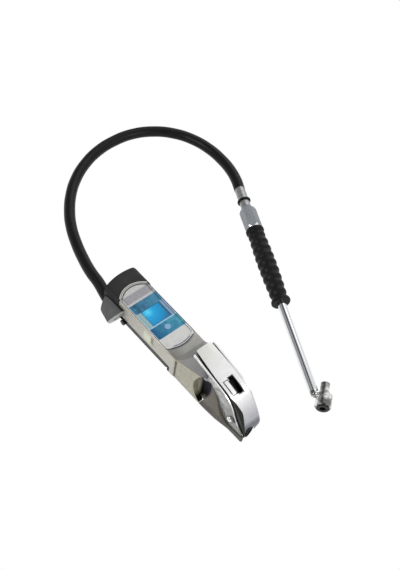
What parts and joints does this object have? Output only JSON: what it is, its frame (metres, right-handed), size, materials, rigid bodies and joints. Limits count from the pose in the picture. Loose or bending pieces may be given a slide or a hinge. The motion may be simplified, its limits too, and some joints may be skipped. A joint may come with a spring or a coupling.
{
  "type": "tyre inflator with gauge",
  "caption": "Hand-held tyre inflator with a digital gauge head, a squeeze lever over its handle, a hose and a twin hold-on connector with a ribbed grip",
  "frame": {"origin": "the centre of the rubber rest pad's face under the display head, on the surface that the inflator lies on", "axes": "+X runs along the body from the hose outlet to the air inlet, +Z is square to the display and points away from it, +Y completes a right-handed frame"},
  "size_m": [0.5286, 0.3213, 0.073],
  "materials": {
    "cast_zinc": "silver-grey satin coating on a die casting",
    "block_paint": "taupe satin coating on a die casting",
    "satin_rim": "satin silver",
    "label_film": "printed film in blue and white",
    "black_rubber": "black with a soft sheen",
    "clear_window": "clear acrylic",
    "display_cell": "lit cyan display",
    "light_guide": "milky white",
    "board_laminate": "green solder mask",
    "black_plastic": "fine spark texture",
    "button_plastic": "pale blue, soft touch",
    "cell_sleeve": "plain green sleeve",
    "grey_plastic": "dark grey, fine texture",
    "plated_steel": "zinc plated",
    "plug_metal": "turned bright",
    "brass": "machined",
    "copper_tube": "drawn copper",
    "bright_plate": "bright chrome plate",
    "nut_metal": "blue-grey nickel plate"
  },
  "bodies": {
    "inflator": {"head_casting": "cast_zinc", "bezel": "satin_rim", "label_overlay": "label_film", "display_gasket": "black_rubber", "display_window": "clear_window", "lcd_panel": "display_cell", "backlight": "light_guide", "circuit_board": "board_laminate", "board_chips": "black_plastic", "pressure_sensor": "plug_metal", "button_switch": "black_plastic", "battery_tray": "black_plastic", "batteries": "cell_sleeve", "battery_contacts": "brass", "back_cover": "black_plastic", "cover_screws": "plated_steel", "rest_pad": "black_rubber", "side_buffer": "black_rubber", "end_cap": "grey_plastic", "cap_screws": "plated_steel", "outlet_fitting": "brass", "outlet_plug": "plug_metal", "air_tube": "copper_tube", "handle_casting": "cast_zinc", "handle_screws": "plated_steel", "valve_block": "block_paint", "block_screws": "plated_steel", "left_cheek": "bright_plate", "right_cheek": "bright_plate", "inlet_bush": "brass", "inlet_collar": "black_rubber", "inlet_filter": "brass", "valve_sleeve": "brass", "valve_gland": "nut_metal", "plunger_spring": "plated_steel", "exhaust_silencer": "brass", "lever_pin": "bright_plate", "pin_clip": "plated_steel", "hose": "black_rubber", "hose_ferrule": "nut_metal", "hose_stem": "plated_steel", "swivel_ring": "black_rubber"},
    "trigger": {"lever": "bright_plate", "lever_button": "plated_steel"},
    "plunger": {"valve_plunger": "plated_steel", "plunger_seal": "black_rubber"},
    "units_button": {"unit_button": "button_plastic"},
    "connector": {"swivel_seal": "black_rubber", "connector_nut": "nut_metal", "grip_sleeve": "black_rubber", "connector_tube": "bright_plate", "chuck_body": "bright_plate", "front_nozzle": "bright_plate", "front_seal": "black_rubber", "front_spring": "plated_steel", "rear_seal": "black_rubber", "rear_spring": "plated_steel"},
    "front_pin": {"front_depressor": "brass"},
    "rear_pin": {"rear_depressor": "brass"}
  },
  "joints": [
    {"name": "trigger_pivot", "type": "hinge", "parent": "inflator", "child": "trigger", "pos_m": [0.156, 0, 0.02], "axis": [0, -1, 0], "range_deg": [0, 8], "stiffness_Nm_per_rad": 3, "springref_deg": -6.88},
    {"name": "plunger_slide", "type": "slide", "parent": "inflator", "child": "plunger", "axis": [0, 0, -1], "range_m": [0, 0.0051], "deforming": ["plunger_spring"]},
    {"name": "units_button_press", "type": "slide", "parent": "inflator", "child": "units_button", "axis": [0, 0, -1], "range_m": [0, 0.0005], "stiffness_N_per_m": 1500, "springref_m": -0.0005},
    {"name": "front_depressor_slide", "type": "slide", "parent": "connector", "child": "front_pin", "axis": [-0.6361, 0.7716, 0], "range_m": [0, 0.002], "stiffness_N_per_m": 800, "springref_m": -0.001, "deforming": ["front_spring"]},
    {"name": "rear_depressor_slide", "type": "slide", "parent": "connector", "child": "rear_pin", "axis": [0.6361, -0.7716, 0], "range_m": [0, 0.002], "stiffness_N_per_m": 800, "springref_m": -0.001, "deforming": ["rear_spring"]},
    {"name": "connector_swivel", "type": "hinge", "parent": "inflator", "child": "connector", "pos_m": [-0.1159, 0.2469, 0.0136], "axis": [0.898, -0.4399, 0], "continuous": true}
  ],
  "couplings": [
    {"joint": "plunger_slide", "follows": "trigger_pivot", "m_per_rad": 0.036}
  ]
}
